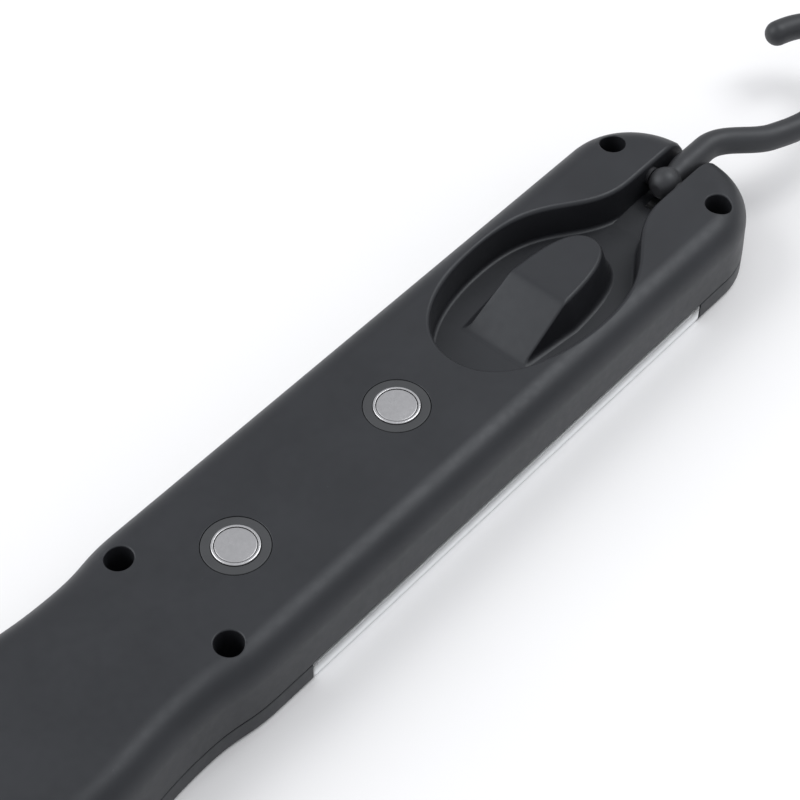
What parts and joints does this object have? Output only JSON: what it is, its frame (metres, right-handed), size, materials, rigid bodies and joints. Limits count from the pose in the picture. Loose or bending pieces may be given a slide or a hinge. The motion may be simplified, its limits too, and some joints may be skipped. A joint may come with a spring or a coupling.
{
  "type": "inspection light",
  "caption": "Slim rechargeable work light with a full-width front lens, magnets in the back and a hook that folds flat into a leaf-shaped recess.",
  "frame": {"origin": "the middle of the body's length and width, on the flat front face that holds the lens", "axes": "+X runs along the body towards the hook, +Z points out of the back, and the charging socket is on the +Y side"},
  "size_m": [0.3771, 0.0556, 0.0248],
  "materials": {
    "case_plastic": "black, fine satin texture with a soft-touch feel",
    "hook_plastic": "black, smooth satin",
    "holder_plastic": "black satin",
    "inner_plastic": "plain black moulding",
    "seal_rubber": "matt black",
    "button_rubber": "matt black with a dished face",
    "clear_lens": "clear moulded polycarbonate",
    "white_reflector": "white, slightly glossy",
    "magnet_nickel": "satin nickel plate, brighter on the rim",
    "screw_steel": "black zinc plate",
    "spring_steel": "bright spring steel",
    "board_aluminium": "white-coated aluminium board",
    "led_phosphor": "yellow phosphor under clear gel",
    "circuit_board": "green solder mask",
    "cell_wrap": "blue film wrap",
    "contact_nickel": "bright nickel strip",
    "socket_steel": "plated steel",
    "red_insulation": "red wire insulation",
    "black_insulation": "black wire insulation"
  },
  "bodies": {
    "case": {"back_shell": "case_plastic", "front_shell": "case_plastic", "case_gasket": "seal_rubber", "lens": "clear_lens", "reflector_tray": "white_reflector", "led_board": "board_aluminium", "cob_strip_1": "led_phosphor", "cob_strip_2": "led_phosphor", "magnet_holder_1": "holder_plastic", "magnet_holder_2": "holder_plastic", "magnet_pot_1": "magnet_nickel", "magnet_pot_2": "magnet_nickel", "magnet_1": "magnet_nickel", "magnet_2": "magnet_nickel", "case_screw_1": "screw_steel", "case_screw_2": "screw_steel", "case_screw_3": "screw_steel", "case_screw_4": "screw_steel", "case_screw_5": "screw_steel", "case_screw_6": "screw_steel", "battery_cell": "cell_wrap", "battery_cradle": "inner_plastic", "battery_tab_positive": "contact_nickel", "battery_tab_negative": "contact_nickel", "control_board": "circuit_board", "tact_switch": "inner_plastic", "indicator_light_pipe": "clear_lens", "usb_socket": "socket_steel", "battery_wire_red": "red_insulation", "battery_wire_black": "black_insulation", "led_wire_red": "red_insulation", "led_wire_black": "black_insulation", "detent_spring": "spring_steel"},
    "ball_cups": {"ball_cup_left": "inner_plastic", "ball_cup_right": "inner_plastic"},
    "hook": {"hook": "hook_plastic"},
    "button": {"power_button": "button_rubber", "switch_plunger": "contact_nickel"},
    "socket_cover": {"usb_cover": "button_rubber"}
  },
  "joints": [
    {"name": "hook_fold", "type": "hinge", "parent": "case", "child": "ball_cups", "pos_m": [0.1365, 0, 0.02], "axis": [0, -1, 0], "range_deg": [0, 180]},
    {"name": "hook_swivel", "type": "hinge", "parent": "ball_cups", "child": "hook", "pos_m": [0.1365, 0, 0.02], "axis": [1, 0, 0], "range_deg": [-180, 180]},
    {"name": "button_press", "type": "slide", "parent": "case", "child": "button", "axis": [0, 0, 1], "range_m": [0, 0.001], "stiffness_N_per_m": 1500},
    {"name": "cover_open", "type": "hinge", "parent": "case", "child": "socket_cover", "pos_m": [-0.0737, 0.02575, 0.0113], "axis": [0, 0, 1], "range_deg": [0, 110]}
  ]
}
